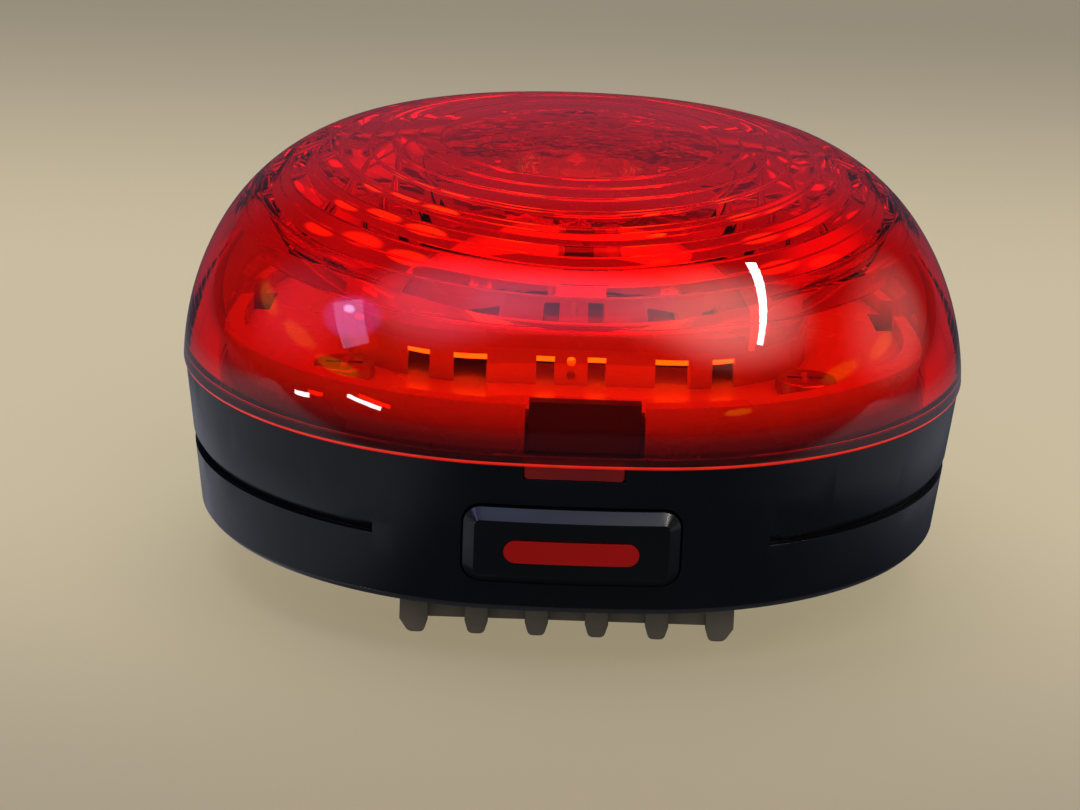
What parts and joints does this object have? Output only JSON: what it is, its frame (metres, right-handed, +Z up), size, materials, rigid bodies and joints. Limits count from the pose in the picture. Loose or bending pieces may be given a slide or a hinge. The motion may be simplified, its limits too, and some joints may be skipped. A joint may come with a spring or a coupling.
{
  "type": "bicycle tail light",
  "caption": "Square-round rechargeable bicycle tail light with a ringed red dome lens, side press button, charging port flap and ribbed mounting pad.",
  "frame": {"origin": "on the ground under the middle of the body, in the plane of the pad's rib feet", "axes": "+Z up through the lens's crown, -Y out through the button, +Y out through the charging port, +X to the right seen from the button's side"},
  "size_m": [0.045, 0.0453, 0.0251],
  "materials": {
    "red_polycarbonate": "clear red moulded polycarbonate, polished outside",
    "black_band_plastic": "fine satin moulded ABS",
    "cover_plastic": "glossy dark moulded plastic",
    "seal_rubber": "smooth silicone",
    "pad_rubber": "matt ribbed rubber",
    "screw_steel": "plated steel",
    "white_reflector": "white moulded plastic",
    "lamp_board_laminate": "white solder mask",
    "main_board_laminate": "green solder mask",
    "led_body": "white LED package",
    "phosphor": "yellow phosphor gel",
    "clear_optic": "clear acrylic",
    "chip_epoxy": "black moulding compound",
    "chip_ceramic": "ceramic with tinned ends",
    "header_plastic": "black nylon",
    "gold_pin": "gold plated",
    "foam_tape": "foam tape",
    "cell_foil": "aluminium laminate pouch",
    "lead_red": "silicone insulated lead",
    "lead_black": "silicone insulated lead",
    "switch_body": "black nylon",
    "key_plastic": "satin black elastomer",
    "red_window": "translucent red silicone",
    "port_steel": "stainless shell",
    "flap_rubber": "satin black rubber"
  },
  "bodies": {
    "case": {"lens": "red_polycarbonate", "housing": "black_band_plastic", "rear_cover": "cover_plastic", "cover_seal": "seal_rubber", "mount_pad": "pad_rubber", "cover_screws": "screw_steel", "reflector_frame": "white_reflector", "frame_screws": "screw_steel", "led_board": "lamp_board_laminate", "reflector_cover": "white_reflector", "cover_plate_screws": "screw_steel", "side_leds": "led_body", "side_led_phosphors": "phosphor", "centre_led": "led_body", "centre_optic": "clear_optic", "driver_chip": "chip_epoxy", "chip_components": "chip_ceramic", "link_header": "header_plastic", "link_pins": "gold_pin", "main_board": "main_board_laminate", "main_board_screws": "screw_steel", "battery_tape": "foam_tape", "battery_cell": "cell_foil", "battery_lead_positive": "lead_red", "battery_lead_negative": "lead_black", "tact_switch": "switch_body", "switch_holder": "header_plastic", "charge_port": "port_steel", "port_tongue": "header_plastic", "flap_anchor": "flap_rubber"},
    "button": {"button_key": "key_plastic", "button_window": "red_window"},
    "plunger": {"switch_plunger": "switch_body"},
    "flap": {"port_flap": "flap_rubber"}
  },
  "joints": [
    {"name": "button_press", "type": "slide", "parent": "case", "child": "button", "axis": [0, 1, 0], "range_m": [0, 0.0004], "stiffness_N_per_m": 2000},
    {"name": "plunger_travel", "type": "slide", "parent": "case", "child": "plunger", "axis": [0, 1, 0], "range_m": [0, 0.0004]},
    {"name": "flap_swing", "type": "hinge", "parent": "case", "child": "flap", "pos_m": [0, 0.02156, 0.00538], "axis": [-1, 0, 0], "range_deg": [0, 110], "stiffness_Nm_per_rad": 0.0002}
  ],
  "couplings": [
    {"joint": "plunger_travel", "follows": "button_press", "ratio": 1}
  ]
}
